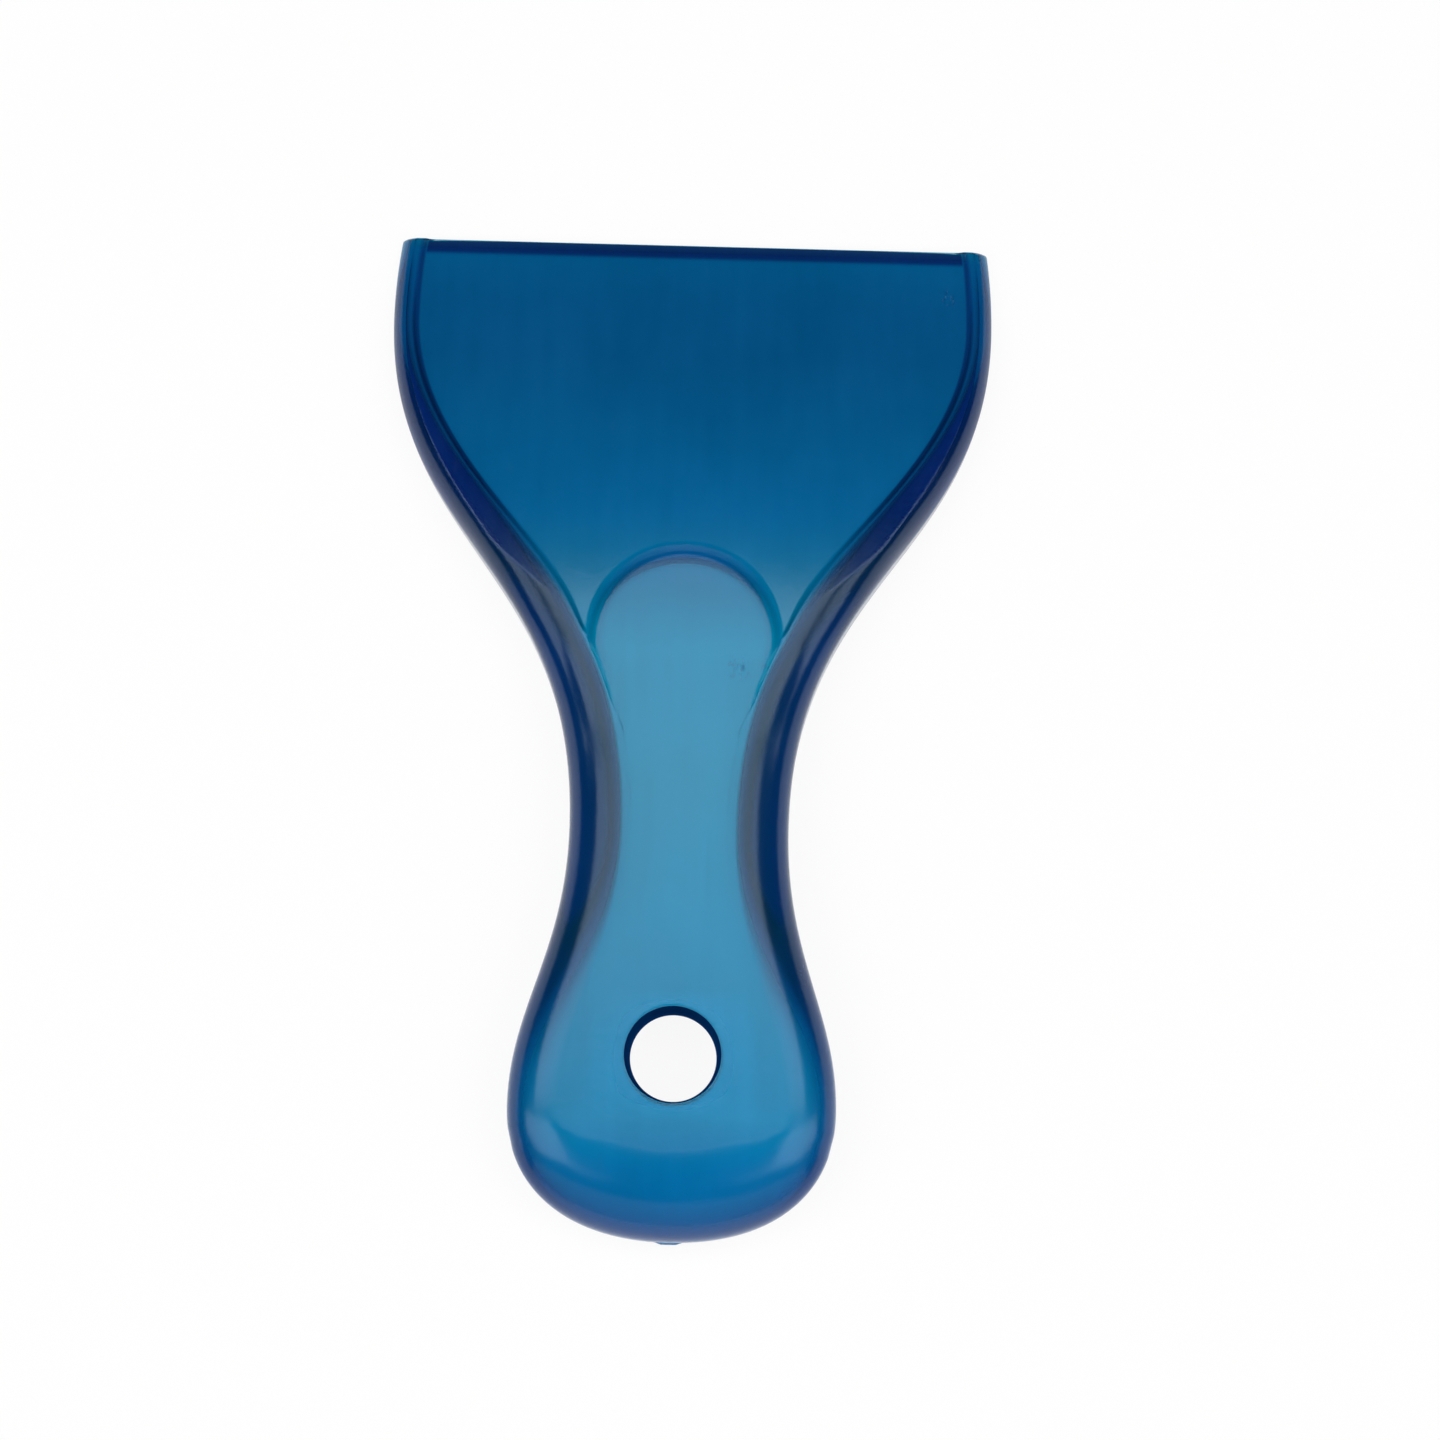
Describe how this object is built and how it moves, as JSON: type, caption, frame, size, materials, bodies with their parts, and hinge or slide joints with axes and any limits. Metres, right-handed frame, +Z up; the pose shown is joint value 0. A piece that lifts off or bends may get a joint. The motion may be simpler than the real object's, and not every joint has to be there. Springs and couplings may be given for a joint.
{
  "type": "ice scraper",
  "caption": "Hand-held ice scraper: a translucent moulded shell with a bevelled blade between side rails, a raised thumb rest and a hollow waisted handle with a hanging hole.",
  "frame": {"origin": "middle of the footprint, on the plane of the rim that the tool lies on", "axes": "+Y along the tool towards the blade edge, +Z up from the rim, +X to the right seen from above with the blade away"},
  "size_m": [0.102, 0.17, 0.017],
  "materials": {
    "blue_plastic": "satin moulded translucent plastic, deep blue"
  },
  "bodies": {
    "root": {"blade_plate": "blue_plastic", "left_rail": "blue_plastic", "right_rail": "blue_plastic", "thumb_rest": "blue_plastic", "handle_shell": "blue_plastic", "hanging_sleeve": "blue_plastic"}
  },
  "joints": []
}
